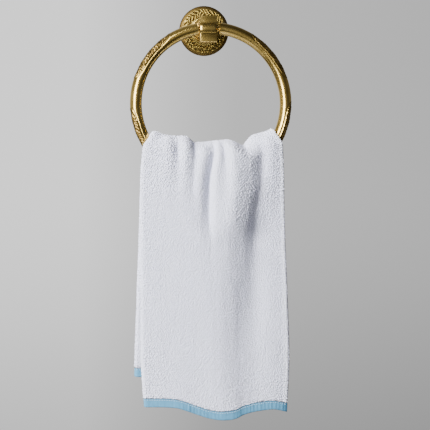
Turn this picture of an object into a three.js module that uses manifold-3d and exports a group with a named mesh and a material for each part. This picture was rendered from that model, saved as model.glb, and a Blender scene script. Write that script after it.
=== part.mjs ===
// A terry hand towel, folded in half along its length and drawn through a towel ring,
// with a narrow woven binding on each short end. The ring hangs from a bracket on a wall
// rose. Millimetres, +Z up; the origin is the centre of the rose's back face, +Y runs
// into the wall and +X to the right.
import * as THREE from 'three';
import { mergeVertices } from 'three/addons/utils/BufferGeometryUtils.js';
import Module from 'manifold-3d';

const wasm = await Module();
wasm.setup();

// ---- Driving dimensions -------------------------------------------------------------

const GAP = 0.3;                 // running clearance between neighbouring pieces

const rose = { radius: 28.6, rim: 2.5, domeRise: 3.5, seat: 16.4, shoulder: 4, edge: 0.8 };
const foot = { radius: 15.5, thickness: 4.5, edge: 1.2 };
const block = {
  width: 19.5, top: 13.5, bottom: -16, back: 39, front: 54.5, edge: 1,
  neckTop: 8, neckBottom: -9, neckRound: 8, browSetback: 0.8,
};
// The flattened barrel's arc starts below and ends above its centre, in degrees, and a
// shallow cove of the given depth runs on above it. The ring's pins lie on its height.
const barrel = {
  radius: 8.8, centreDepth: 47.4, centreZ: -1, fromAngle: -35.5, toAngle: 33,
  coveDepth: 2.6, coveRise: 5.8,
};
const pin = { radius: 2.8, leftTip: -2.5, rightTip: 3.5, root: 3 };

const ring = {
  radius: 84.4, tube: 6.7, centreX: 3.6, depth: 48, leftEndX: -11.7, rightEndX: 13.2,
};
const ringCentreZ = -ring.radius;

const cloth = { width: 164, thickness: 3, tongue: 1, layerPitch: 5, innerSetback: 4 };
const binding = { height: 10, wall: 0.7, slack: 0.45 };

// ---- The towel's folds --------------------------------------------------------------
// One row for each fold line, from the folded edge on the left to the two selvedges on
// the right. across is its place on the folded cloth, and crest is where it passes over
// the ring. x is measured from the ring's centre, and out is how far the line stands in
// front of the ring's middle plane, or behind it on the back. Both are given at the
// shares of the drop in frontShares and backShares. end is the height of its lower end.

const frontShares = [0.045, 0.142, 0.25, 0.37, 0.6, 0.8, 1];

const frontFolds = [
  { line: 'folded edge', across: 0, crest: { x: -63, z: -116.5 }, end: -423.6,
    x: [-72.5, -75.3, -76, -76, -76, -76, -73.2], out: [13.6, 13.6, 13.2, 13.2, 13.2, 13.2, 13.2] },
  { line: 'flat left', across: 14, crest: { x: -54, z: -120.2 }, end: -423.6,
    x: [-59, -60.5, -61.5, -61.5, -61.5, -61, -58.5], out: [15.4, 15.6, 15.2, 15.2, 15.2, 15, 14.8] },
  { line: 'left swell', across: 25, crest: { x: -49, z: -121.2 }, end: -424,
    x: [-48, -49, -50, -50, -50, -49.5, -48], out: [17.6, 17.2, 16.8, 16.6, 16.6, 16.2, 16] },
  { line: 'short tuck', across: 34, crest: { x: -39, z: -122.2 }, end: -424.8,
    x: [-38.6, -39.5, -40, -40.5, -40.5, -40, -39.5], out: [13.4, 17, 18, 18, 18, 17.6, 17.2] },
  { line: 'small swell', across: 43, crest: { x: -30, z: -121.8 }, end: -427.6,
    x: [-29.5, -31, -31.5, -31.5, -31.5, -31, -30.5], out: [19.4, 19, 19, 19, 19, 18.6, 18.2] },
  { line: 'sharp crease', across: 53, crest: { x: -20, z: -129 }, end: -432.2,
    x: [-19.4, -22, -23, -22, -20.5, -19.5, -17.5], out: [15, 17.6, 19.8, 20.2, 20, 19.6, 19] },
  { line: 'flat ridge', across: 63, crest: { x: -10, z: -129.2 }, end: -436.2,
    x: [-10, -14.5, -15.5, -12.5, -9.5, -8.5, -5.5], out: [19.5, 20.2, 19.8, 21, 21.2, 21, 20] },
  { line: 'pleat, left side', across: 74, crest: { x: 2.5, z: -127.8 }, end: -438.2,
    x: [2, -3, -4, -2.5, 1.5, 2.5, 6], out: [13.4, 13.8, 15.6, 21, 21.8, 22.3, 21.6] },
  { line: 'pleat', across: 82, crest: { x: 6.5, z: -127.2 }, end: -438.5,
    x: [7, 3.2, 3, 5, 8, 9, 12], out: [21.5, 23.6, 23.6, 21.6, 21.6, 22.3, 22.4] },
  { line: 'pleat, right side', across: 89, crest: { x: 10.5, z: -127.2 }, end: -438.2,
    x: [13, 13, 12, 13.5, 15, 16, 19], out: [19.2, 24, 25.6, 21.4, 20.4, 21.5, 22.4] },
  { line: 'main ridge', across: 99, crest: { x: 19, z: -126.2 }, end: -437,
    x: [23, 23.5, 20.5, 20, 22, 23, 26], out: [26, 27.8, 27.2, 20.2, 18.6, 19.9, 21.6] },
  { line: 'long slope', across: 113, crest: { x: 36, z: -133 }, end: -433.6,
    x: [40.5, 39.5, 35, 32.5, 31, 30.5, 34.5], out: [22.4, 22.6, 21.6, 15.8, 14.8, 17.9, 19.2] },
  { line: 'long valley', across: 129, crest: { x: 47, z: -121.6 }, end: -430.2,
    x: [56, 56, 51, 50.5, 49.5, 48, 50], out: [14.2, 14.2, 12.6, 8, 10, 15.2, 17.6] },
  { line: 'right ridge', across: 147, crest: { x: 59, z: -118 }, end: -428.4,
    x: [66, 66.5, 67, 67.5, 67, 67, 68], out: [17.4, 15, 11.4, 8.4, 11.8, 16, 17.6] },
  { line: 'selvedges', across: cloth.width, crest: { x: 70, z: -114.2 }, end: -432,
    x: [78.5, 80.3, 81.5, 83, 85.8, 87.3, 84.5], out: [15, 13, 10, 8.2, 11, 14.4, 15.4] },
];

const backShares = [0.055, 0.2, 0.45, 0.72, 1];

const backFolds = [
  { line: 'folded edge', across: 0, end: -393.2,
    x: [-71, -74.5, -77, -80, -83], out: [13.6, 13.6, 13.6, 13.6, 13.6] },
  { line: 'left swell', across: 38, end: -395.2,
    x: [-38, -39, -41, -43, -46], out: [17, 18, 18, 17, 16.5] },
  { line: 'middle valley', across: 74, end: -399.2,
    x: [-7, -7, -8, -9, -11], out: [13.6, 13.8, 14, 14, 14] },
  { line: 'right swell', across: 112, end: -401.2,
    x: [27, 27, 27, 26, 25], out: [21, 22, 22, 20, 19] },
  { line: 'right valley', across: 140, end: -397.2,
    x: [51, 51, 50, 50, 49], out: [14, 14, 14, 14, 15] },
  { line: 'selvedges', across: cloth.width, end: -395.2,
    x: [72, 73, 73, 73, 73], out: [15, 15, 16, 16, 15] },
];

// ---- Mesh helpers -------------------------------------------------------------------

function solidFrom(geometry) {
  const bare = geometry.clone();
  bare.deleteAttribute('normal');
  bare.deleteAttribute('uv');
  const merged = mergeVertices(bare, 1e-4);
  return new wasm.Manifold(new wasm.Mesh({
    numProp: 3,
    vertProperties: new Float32Array(merged.attributes.position.array),
    triVerts: new Uint32Array(merged.index.array),
  }));
}

function geometryFrom(solid) {
  const mesh = solid.getMesh();
  const geometry = new THREE.BufferGeometry();
  geometry.setAttribute('position', new THREE.BufferAttribute(mesh.vertProperties, 3));
  geometry.setIndex(new THREE.BufferAttribute(mesh.triVerts, 1));
  geometry.computeVertexNormals();
  return geometry;
}

// Turns a lathe's axis from +Y to -Y, out of the wall.
function latheFromWall(points, segments) {
  return new THREE.LatheGeometry(points, segments).rotateX(Math.PI);
}

// A closed skin over a grid of stations: loops[i] is a closed loop of points, and the
// first and last loops are capped by strips between their two halves.
function skinLoops(loops) {
  const count = loops[0].length;
  const positions = loops.flat().flatMap((p) => [p.x, p.y, p.z]);
  const index = [];
  for (let i = 0; i < loops.length - 1; i += 1) {
    for (let j = 0; j < count; j += 1) {
      const a = i * count + j;
      const b = i * count + ((j + 1) % count);
      index.push(a, b, b + count, a, b + count, a + count);
    }
  }
  const last = (loops.length - 1) * count;
  for (let j = 0; j < count / 2 - 1; j += 1) {
    const k = count - 1 - j;
    index.push(j, k, j + 1, j + 1, k, k - 1);
    index.push(last + j, last + j + 1, last + k, last + j + 1, last + k - 1, last + k);
  }
  const geometry = new THREE.BufferGeometry();
  geometry.setAttribute('position', new THREE.Float32BufferAttribute(positions, 3));
  geometry.setIndex(index);
  geometry.computeVertexNormals();
  return geometry;
}

// ---- Wall rose, bracket and ring ----------------------------------------------------

const roseHeight = rose.rim + rose.domeRise;
const footDepth = roseHeight + GAP;

function makeRose() {
  const dome = new THREE.Shape();
  dome.moveTo(0, 0);
  dome.lineTo(rose.radius - rose.edge, 0);
  dome.lineTo(rose.radius, rose.edge);
  dome.lineTo(rose.radius, rose.rim);
  dome.quadraticCurveTo(rose.radius - rose.shoulder, roseHeight, rose.seat, roseHeight);
  dome.lineTo(0, roseHeight);
  return latheFromWall(dome.getPoints(6), 40);
}

function makeFoot() {
  const { radius, thickness, edge } = foot;
  const profile = [
    [0, footDepth],
    [radius, footDepth],
    [radius, footDepth + thickness - edge],
    [radius - edge, footDepth + thickness],
    [0, footDepth + thickness],
  ];
  return latheFromWall(profile.map(([r, depth]) => new THREE.Vector2(r, depth)), 40);
}

// The block's side outline, x for the depth from the wall and y for the height: a neck
// out of the foot, a tall head, and the flattened barrel across the head's face with a
// shallow cove above it.
function blockOutline() {
  const { top, bottom, back, front, edge, neckTop, neckBottom, neckRound } = block;
  const brow = front - block.browSetback;
  const root = footDepth + foot.thickness / 2;
  const outline = new THREE.Shape();
  outline.moveTo(root, neckBottom);
  outline.lineTo(back - neckRound, neckBottom);
  outline.quadraticCurveTo(back, neckBottom, back, bottom + edge);
  outline.lineTo(back + edge, bottom);
  outline.lineTo(front - edge, bottom);
  outline.lineTo(front, bottom + edge);
  outline.absarc(barrel.centreDepth, barrel.centreZ, barrel.radius,
    THREE.MathUtils.degToRad(barrel.fromAngle), THREE.MathUtils.degToRad(barrel.toAngle), false);
  const coveTop = barrel.centreZ + barrel.coveRise;
  outline.quadraticCurveTo(front - barrel.coveDepth, coveTop, brow, top - edge);
  outline.lineTo(brow - edge, top);
  outline.lineTo(back + edge, top);
  outline.lineTo(back, top - edge);
  outline.quadraticCurveTo(back, neckTop, back - neckRound, neckTop);
  outline.lineTo(root, neckTop);
  outline.closePath();
  return outline;
}

function makeBracket() {
  const edge = 0.8 * block.edge;
  const body = new THREE.ExtrudeGeometry(blockOutline(), {
    depth: block.width - 2 * edge, bevelEnabled: true, bevelThickness: edge,
    bevelSize: edge, bevelOffset: -edge, bevelSegments: 1, curveSegments: 8,
  });
  // Outline x (depth) goes to -Y, outline y to +Z and the extrusion to +X, or -X.
  body.translate(0, 0, edge - block.width / 2);
  body.applyMatrix4(new THREE.Matrix4().makeBasis(
    new THREE.Vector3(0, -1, 0), new THREE.Vector3(0, 0, 1), new THREE.Vector3(-1, 0, 0)));
  const boreRadius = pin.radius + GAP;
  const bore = new THREE.CylinderGeometry(boreRadius, boreRadius, 2 * block.width, 24);
  bore.rotateZ(Math.PI / 2);
  bore.translate(0, -ring.depth, barrel.centreZ);
  return geometryFrom(solidFrom(body).add(solidFrom(makeFoot())).subtract(solidFrom(bore)));
}

// The ring's centre line, from its left end at the bracket round to its right end.
class RingLine extends THREE.Curve {
  getPoint(t) {
    const openLeft = Math.asin((ring.centreX - ring.leftEndX) / ring.radius);
    const openRight = Math.asin((ring.rightEndX - ring.centreX) / ring.radius);
    const angle = Math.PI / 2 + openLeft + t * (2 * Math.PI - openLeft - openRight);
    return new THREE.Vector3(
      ring.centreX + ring.radius * Math.cos(angle), -ring.depth,
      ringCentreZ + ring.radius * Math.sin(angle));
  }
}

function makePin(fromX, toX) {
  const shaft = new THREE.CylinderGeometry(pin.radius, pin.radius, Math.abs(toX - fromX), 20);
  shaft.rotateZ(Math.PI / 2);
  shaft.translate((fromX + toX) / 2, -ring.depth, barrel.centreZ);
  return solidFrom(shaft);
}

function makeRing() {
  const section = new THREE.Shape();
  section.absarc(0, 0, ring.tube, 0, 2 * Math.PI, false);
  const tube = new THREE.ExtrudeGeometry(section, {
    steps: 64, curveSegments: 8, bevelEnabled: false, extrudePath: new RingLine(),
  });
  const left = makePin(ring.leftEndX - pin.root, pin.leftTip);
  const right = makePin(ring.rightEndX + pin.root, pin.rightTip);
  return geometryFrom(solidFrom(tube).add(left).add(right));
}

// ---- The cloth's middle surface -----------------------------------------------------

// A smooth curve through values at rising knots that never overshoots them, so that a
// ridge or valley stays exactly at its own line.
function through(knots, values, at) {
  const last = knots.length - 1;
  const slope = (i) => (values[i + 1] - values[i]) / (knots[i + 1] - knots[i]);
  const tangent = (i) => {
    if (i === 0) return slope(0);
    if (i === last) return slope(last - 1);
    const before = slope(i - 1);
    const after = slope(i);
    return before * after <= 0 ? 0 : (2 * before * after) / (before + after);
  };
  let i = 0;
  while (i < last - 1 && at > knots[i + 1]) i += 1;
  const step = knots[i + 1] - knots[i];
  const t = Math.min(1, Math.max(0, (at - knots[i]) / step));
  return values[i] * (1 + 2 * t) * (1 - t) ** 2 + tangent(i) * step * t * (1 - t) ** 2
    + values[i + 1] * t * t * (3 - 2 * t) - tangent(i + 1) * step * t * t * (1 - t);
}

const valueAcross = (folds, pick, across) => through(
  folds.map((fold) => fold.across), folds.map(pick), across);

const crestAt = (across) => ({
  x: valueAcross(frontFolds, (fold) => fold.crest.x, across),
  z: valueAcross(frontFolds, (fold) => fold.crest.z, across),
});

const front = { folds: frontFolds, shares: frontShares, side: -1 };
const back = { folds: backFolds, shares: backShares, side: 1 };

const valueDown = (drop, key, across, share) => through(
  drop.shares,
  drop.shares.map((_, level) => valueAcross(drop.folds, (fold) => fold[key][level], across)),
  share);

// The lowest of a value near one place across the cloth: the layer below a fold lies
// under its lowest neighbours, so it bridges the narrow tucks of the layer above.
function lowestNear(across, valueAt) {
  const reach = 9;
  let lowest = Infinity;
  for (let shift = -reach; shift <= reach; shift += 3) {
    lowest = Math.min(lowest, valueAt(Math.min(cloth.width, Math.max(0, across + shift))));
  }
  return lowest;
}

// Pushes a point of the cloth's middle surface out of the ring's tube.
function clearOfRing(point) {
  const clear = ring.tube + GAP + cloth.thickness / 2 + 0.3;
  const inPlane = new THREE.Vector3(point.x - ring.centreX, 0, point.z - ringCentreZ);
  const nearest = inPlane.clone().setLength(ring.radius)
    .add(new THREE.Vector3(ring.centreX, -ring.depth, ringCentreZ));
  const away = point.clone().sub(nearest);
  if (away.length() >= clear) return point;
  return nearest.add(away.setLength(clear));
}

// A point of one layer. row.share runs from 0 at the crest to 1 at the end; the first
// stretch is a quarter turn over the ring, given by row.turn in degrees.
function layerPoint(across, row, isInner) {
  const inset = isInner ? cloth.layerPitch : 0;
  const { drop } = row;
  const first = drop.shares[0];
  const share = Math.max(row.share, first);
  const crestX = crestAt(across).x;
  const crestZ = isInner ? lowestNear(across, (a) => crestAt(a).z) : crestAt(across).z;
  const outAt = (a) => valueDown(drop, 'out', a, share);
  const out = (isInner ? lowestNear(across, outAt) : outAt(across)) - inset;
  const x = valueDown(drop, 'x', across, share);
  const end = valueAcross(drop.folds, (fold) => fold.end, across);
  const wallZ = crestZ + (end - crestZ) * share;
  const turn = THREE.MathUtils.degToRad(row.turn);
  const topZ = crestZ - inset;
  const forward = row.turn < 90 ? out * Math.sin(turn) : out;
  const z = row.turn < 90 ? wallZ + (topZ - wallZ) * Math.cos(turn) : wallZ;
  const along = row.turn < 90 ? 1 - Math.cos(turn) : 1;
  return clearOfRing(new THREE.Vector3(
    ring.centreX + crestX + (x - crestX) * along, -ring.depth + drop.side * forward, z));
}

// ---- Rows down the cloth and columns across it --------------------------------------

const clearOfBinding = binding.wall + GAP;

function dropRows(drop, rowCount) {
  const centre = cloth.width / 2;
  const length = crestAt(centre).z - valueAcross(drop.folds, (fold) => fold.end, centre);
  const tongueShare = (binding.height - clearOfBinding + 2 * GAP) / length;
  const step = GAP / length;
  const { thickness } = cloth;
  const turns = [22.5, 45, 67.5].map((turn) => ({ drop, share: 0, turn, thickness }));
  const first = drop.shares[0];
  const lastFull = 1 - tongueShare - step;
  const wall = Array.from({ length: rowCount }, (_, i) => ({
    drop, share: first + ((lastFull - first) * i) / (rowCount - 1), turn: 90, thickness,
  }));
  const tongue = [1 - tongueShare, 1].map(
    (share) => ({ drop, share, turn: 90, thickness: cloth.tongue }));
  return [...turns, ...wall, ...tongue];
}

const rows = [
  ...dropRows(back, 17).reverse(),
  { drop: front, share: 0, turn: 0, thickness: cloth.thickness },
  ...dropRows(front, 21),
];

function columnsAcross() {
  const lines = frontFolds.map((fold) => fold.across);
  const between = lines.slice(1).map((line, i) => (line + lines[i]) / 2);
  return [...lines, ...between].sort((a, b) => a - b);
}

// One row of the middle surface: the outer layer from its selvedge to the fold, round
// the folded edge, and back along the inner layer to its own selvedge.
function middleRow(row) {
  const columns = columnsAcross();
  const outer = columns.map((across) => layerPoint(across, row, false)).reverse();
  const innerEnd = cloth.width - cloth.innerSetback;
  const inner = columns.map((across) => layerPoint((across * innerEnd) / cloth.width, row, true));
  const start = outer[outer.length - 1];
  const centre = start.clone().add(inner[0]).multiplyScalar(0.5);
  const arm = start.clone().sub(centre);
  const left = new THREE.Vector3(-arm.length(), 0, 0);
  const bend = [45, 90, 135].map((degrees) => {
    const angle = THREE.MathUtils.degToRad(degrees);
    return clearOfRing(centre.clone()
      .addScaledVector(arm, Math.cos(angle)).addScaledVector(left, Math.sin(angle)));
  });
  return [...outer, ...bend, ...inner];
}

const middle = rows.map(middleRow);

// Unit normals of a grid of points, outward on the outer layer.
function gridNormals(grid) {
  return grid.map((line, i) => line.map((_, j) => {
    const up = grid[Math.max(0, i - 1)][j];
    const down = grid[Math.min(grid.length - 1, i + 1)][j];
    const before = line[Math.max(0, j - 1)];
    const after = line[Math.min(line.length - 1, j + 1)];
    return after.clone().sub(before).cross(down.clone().sub(up)).normalize();
  }));
}

const normals = gridNormals(middle);

function makeTowel() {
  return skinLoops(middle.map((line, i) => {
    const half = rows[i].thickness / 2;
    const face = line.map((point, j) => point.clone().addScaledVector(normals[i][j], half));
    const reverse = line.map((point, j) => point.clone().addScaledVector(normals[i][j], -half));
    return [...face, ...reverse.reverse()];
  }));
}

// A binding is a channel folded over the cloth's thin end. Its section at each column is
// given by the distance up from the cloth's end and the distance out along the normal.
function bindingStations(endRow, aboveRow) {
  const inside = cloth.tongue / 2 + binding.slack;
  const outside = inside + binding.wall;
  const low = -clearOfBinding;
  const high = binding.height - clearOfBinding;
  const section = [
    [high, outside], [low, outside], [low, -outside], [high, -outside],
    [high, -inside], [-GAP, -inside], [-GAP, inside], [high, inside],
  ];
  return middle[endRow].map((end, j) => {
    const up = middle[aboveRow][j].clone().sub(end);
    const tongueHeight = up.length();
    up.normalize();
    return section.map(([rise, out]) => {
      const share = Math.max(0, rise / tongueHeight);
      const normal = normals[endRow][j].clone().lerp(normals[aboveRow][j], share).normalize();
      return end.clone().addScaledVector(up, rise).addScaledVector(normal, out);
    });
  });
}

function skinBinding(stations, flip) {
  const count = stations[0].length;
  const positions = stations.flat().flatMap((p) => [p.x, p.y, p.z]);
  const index = [];
  const face = (a, b, c) => (flip ? index.push(a, c, b) : index.push(a, b, c));
  for (let i = 0; i < stations.length - 1; i += 1) {
    for (let j = 0; j < count; j += 1) {
      const a = i * count + j;
      const b = i * count + ((j + 1) % count);
      face(a, b + count, b);
      face(a, a + count, b + count);
    }
  }
  const capCorners = [[0, 1, 6], [0, 6, 7], [1, 2, 5], [1, 5, 6], [2, 3, 4], [2, 4, 5]];
  const last = (stations.length - 1) * count;
  for (const [a, b, c] of capCorners) {
    face(a, b, c);
    face(last + a, last + c, last + b);
  }
  const geometry = new THREE.BufferGeometry();
  geometry.setAttribute('position', new THREE.Float32BufferAttribute(positions, 3));
  geometry.setIndex(index);
  geometry.computeVertexNormals();
  return geometry;
}

// ---- Materials and the finished group -----------------------------------------------

const materials = {
  brass: new THREE.MeshStandardMaterial({ color: 0xa8853f, roughness: 0.35, metalness: 1 }),
  terry: new THREE.MeshStandardMaterial({ color: 0xe6e8ec, roughness: 0.95, metalness: 0 }),
  tape: new THREE.MeshStandardMaterial({ color: 0x9cc3dc, roughness: 0.8, metalness: 0 }),
};

function named(name, geometry, material) {
  const mesh = new THREE.Mesh(geometry, material);
  mesh.name = name;
  return mesh;
}

const frontHem = bindingStations(rows.length - 1, rows.length - 2);
const backHem = bindingStations(0, 1);
const group = new THREE.Group();
group.add(
  named('wall_rose', makeRose(), materials.brass),
  named('bracket', makeBracket(), materials.brass),
  named('towel_ring', makeRing(), materials.brass),
  named('towel', makeTowel(), materials.terry),
  named('binding_front', skinBinding(frontHem, false), materials.tape),
  named('binding_back', skinBinding(backHem, true), materials.tape),
);

export default group;
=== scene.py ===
# %% [markdown]
# # A hand towel on a towel ring
#
# A white terry hand towel is folded in half along its length and drawn through a brass
# towel ring. The ring hangs from a bracket on a round wall rose. The solids of the part
# come in as a fixed frame, and this lesson dresses them: cloth, pile, tape and brass.
# Lengths are written in millimetres, as a maker would, and turned to metres once.


# %% Load the frame and keep its solids in place
import math

import bpy
import numpy as np
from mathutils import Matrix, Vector


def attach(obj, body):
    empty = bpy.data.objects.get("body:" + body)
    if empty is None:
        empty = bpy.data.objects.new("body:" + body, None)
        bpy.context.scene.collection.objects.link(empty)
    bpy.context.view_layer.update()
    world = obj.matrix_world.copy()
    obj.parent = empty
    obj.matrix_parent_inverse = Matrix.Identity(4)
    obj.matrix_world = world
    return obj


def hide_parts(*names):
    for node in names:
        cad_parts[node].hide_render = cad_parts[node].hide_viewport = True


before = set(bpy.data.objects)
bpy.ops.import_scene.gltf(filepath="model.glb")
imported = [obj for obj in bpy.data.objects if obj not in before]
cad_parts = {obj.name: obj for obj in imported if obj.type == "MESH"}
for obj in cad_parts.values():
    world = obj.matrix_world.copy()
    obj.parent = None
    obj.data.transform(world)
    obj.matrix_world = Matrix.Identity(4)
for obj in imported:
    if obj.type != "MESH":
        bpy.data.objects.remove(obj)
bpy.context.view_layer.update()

print("nodes:", ", ".join(sorted(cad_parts)))


# %% [markdown]
# ## Small helpers
#
# Blender's operators work on whatever is selected, so everything is deselected before a
# new piece is begun. Most soft pieces here are grids of points, so one helper turns an
# array of points and a list of faces into a mesh object.


# %% Helpers for meshes
MM = 0.001


def start_clean(piece=None):
    """Leaves edit mode and deselects everything, then picks up the piece if one is given."""
    if bpy.context.object and bpy.context.object.mode != "OBJECT":
        bpy.ops.object.mode_set(mode="OBJECT")
    bpy.ops.object.select_all(action="DESELECT")
    if piece:
        piece.select_set(True)
        bpy.context.view_layer.objects.active = piece


def mesh_piece(name, points_mm, faces, edges=(), smooth=True):
    """A mesh object at the origin from points in millimetres."""
    mesh = bpy.data.meshes.new(name)
    mesh.from_pydata((np.asarray(points_mm) * MM).tolist(), edges, faces)
    mesh.validate()
    mesh.polygons.foreach_set("use_smooth", [smooth] * len(mesh.polygons))
    mesh.update()
    piece = bpy.data.objects.new(name, mesh)
    bpy.context.scene.collection.objects.link(piece)
    return piece


def joined_copies(name, base, faces, places, axes, size=1.0):
    """One mesh of many copies of a small shape, each at its place on three axes of its own."""
    points = places[:, None, :] + size * np.einsum("pk,nkx->npx", base, axes)
    every = [tuple(v + n * len(base) for v in face) for n in range(len(places)) for face in faces]
    return mesh_piece(name, points.reshape(-1, 3), every)


def tube_faces(rings, around, flip=False):
    """Quads along a tube whose points are stored ring by ring."""
    i, j = np.meshgrid(np.arange(rings - 1), np.arange(around), indexing="ij")
    a = i * around + j
    b = i * around + (j + 1) % around
    quads = np.stack([a, b, b + around, a + around], axis=-1).reshape(-1, 4)
    return (quads[:, ::-1] if flip else quads).tolist()


def face_outwards(piece):
    """Turns all faces of a closed piece outwards."""
    start_clean(piece)
    bpy.ops.object.mode_set(mode="EDIT")
    bpy.ops.mesh.select_all(action="SELECT")
    bpy.ops.mesh.normals_make_consistent(inside=False)
    bpy.ops.object.mode_set(mode="OBJECT")


def apply_modifier(piece, name, kind, **settings):
    """Gives a piece a modifier with these settings and applies it."""
    modifier = piece.modifiers.new(name, kind)
    for key, value in settings.items():
        setattr(modifier, key, value)
    start_clean(piece)
    bpy.ops.object.modifier_apply(modifier=modifier.name)


def keep_value(piece, name, values):
    """Stores one number for each vertex, for a material to read."""
    attribute = piece.data.attributes.new(name, "FLOAT", "POINT")
    attribute.data.foreach_set("value", np.asarray(values, dtype=np.float32).ravel())


def keep_uv(piece, values):
    """Stores one (u, v) pair for each vertex, in millimetres on the cloth."""
    corners = np.empty(len(piece.data.loops), dtype=np.int32)
    piece.data.loops.foreach_get("vertex_index", corners)
    layer = piece.data.uv_layers.new(name="millimetres")
    layer.data.foreach_set("uv", values.reshape(-1, 2)[corners].ravel())


def report(piece):
    """Prints how many triangles a piece has, and how large it is."""
    triangles = sum(len(polygon.vertices) - 2 for polygon in piece.data.polygons)
    size = ", ".join(f"{d / MM:.0f}" for d in piece.dimensions)
    print(f"{piece.name}: {triangles} triangles, {size} mm")


# %% [markdown]
# Three more helpers work on the points themselves. They measure along a line or a grid,
# and read what is known at some distances at other ones.


# %% Helpers for points
def unit(vectors):
    """The same directions, each one unit long."""
    return vectors / np.linalg.norm(vectors, axis=-1, keepdims=True)


def run_along(points, axis=0):
    """Distance to each point of a line, or on the mean to each row or column of a grid."""
    steps = np.linalg.norm(np.diff(points, axis=axis), axis=-1)
    if points.ndim == 3:
        steps = steps.mean(axis=1 - axis)
    return np.concatenate([[0], np.cumsum(steps)])


def resample(at, along, values):
    """Each column of values, which are known at the distances along, read at the distances at."""
    return np.stack([np.interp(at, along, column) for column in values.T], axis=-1)


# %% [markdown]
# Colours are chosen as sRGB hex values, as a paint shop would, and Blender's shaders want
# them linear. One function converts them. Another adds a shader node with its settings
# and links in a single line, which keeps each material short enough to read.


# %% Helpers for materials
def colour(hex_value):
    """Linear RGBA from an sRGB hex string such as 'd8dadf'."""
    channels = [int(hex_value[i:i + 2], 16) / 255 for i in (0, 2, 4)]
    linear = [c / 12.92 if c <= 0.04045 else ((c + 0.055) / 1.055) ** 2.4 for c in channels]
    return (*linear, 1.0)


def feed(node, **inputs):
    """Gives a node's inputs, by name or as i and a number, a value or a socket to link."""
    for key, value in inputs.items():
        numbered = key[0] == "i" and key[1:].isdigit()
        socket = node.inputs[int(key[1:]) if numbered else key.replace("_", " ")]
        if isinstance(value, bpy.types.NodeSocket):
            node.id_data.links.new(value, socket)
        else:
            socket.default_value = value
    return node


def add_node(tree, kind, settings=None, **inputs):
    """Adds a shader node. settings are its own properties, and its inputs are fed as above."""
    node = tree.nodes.new("ShaderNode" + kind)
    for key, value in (settings or {}).items():
        setattr(node, key, value)
    return feed(node, **inputs)


def new_material(name):
    """An empty node material, its tree, and its Principled shader."""
    material = bpy.data.materials.new(name)
    material.use_nodes = True
    return material, material.node_tree, material.node_tree.nodes["Principled BSDF"]


# %% [markdown]
# ## The camera
#
# The camera stands a little to the left of the ring, about level with its middle, and
# looks slightly down the towel through a portrait lens.


# %% Camera
TARGET_MM = (7.9, -48.0, -209.4)
CAMERA_DISTANCE_MM = 1416.0
CAMERA_AZIMUTH = -6.07
CAMERA_ELEVATION = 4.08
LENS_MM = 105.0
SENSOR_MM = 36.0

camera_data = bpy.data.cameras.new("camera")
camera_data.lens = LENS_MM
camera_data.sensor_width = SENSOR_MM
camera = bpy.data.objects.new("camera", camera_data)
bpy.context.scene.collection.objects.link(camera)
turn, rise = math.radians(CAMERA_AZIMUTH), math.radians(CAMERA_ELEVATION)
towards_camera = Vector((
    math.sin(turn) * math.cos(rise), -math.cos(turn) * math.cos(rise), math.sin(rise)))
camera.location = Vector(TARGET_MM) * MM + towards_camera * CAMERA_DISTANCE_MM * MM
camera.rotation_euler = (-towards_camera).to_track_quat("-Z", "Y").to_euler()
bpy.context.scene.camera = camera
print("camera at", tuple(round(c, 3) for c in camera.location))


# %% [markdown]
# ## How the towel hangs
#
# Cloth over a ring is best described by its fold lines: the ridges and valleys that run
# from where the cloth passes over the ring down to the hem. Each row below is one such
# line, from the folded edge on the left to the two selvedges on the right. `across` is
# its place on the folded cloth. `crest` is where it passes over the ring. `x`, and `out`
# (how far it stands off the ring's middle plane), are given at a few shares of the drop.
# The curve between the lines never overshoots, so each ridge stays exactly at its line.


# %% Fold tables
RING_CENTRE = np.array([3.6, -48.0, -84.4])
RING_RADIUS = 84.4
TUBE_RADIUS = 6.7
CLOTH_WIDTH = 164.0
THICKNESS = 3.0
LAYER_PITCH = 5.0
INNER_SETBACK = 4.0

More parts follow.
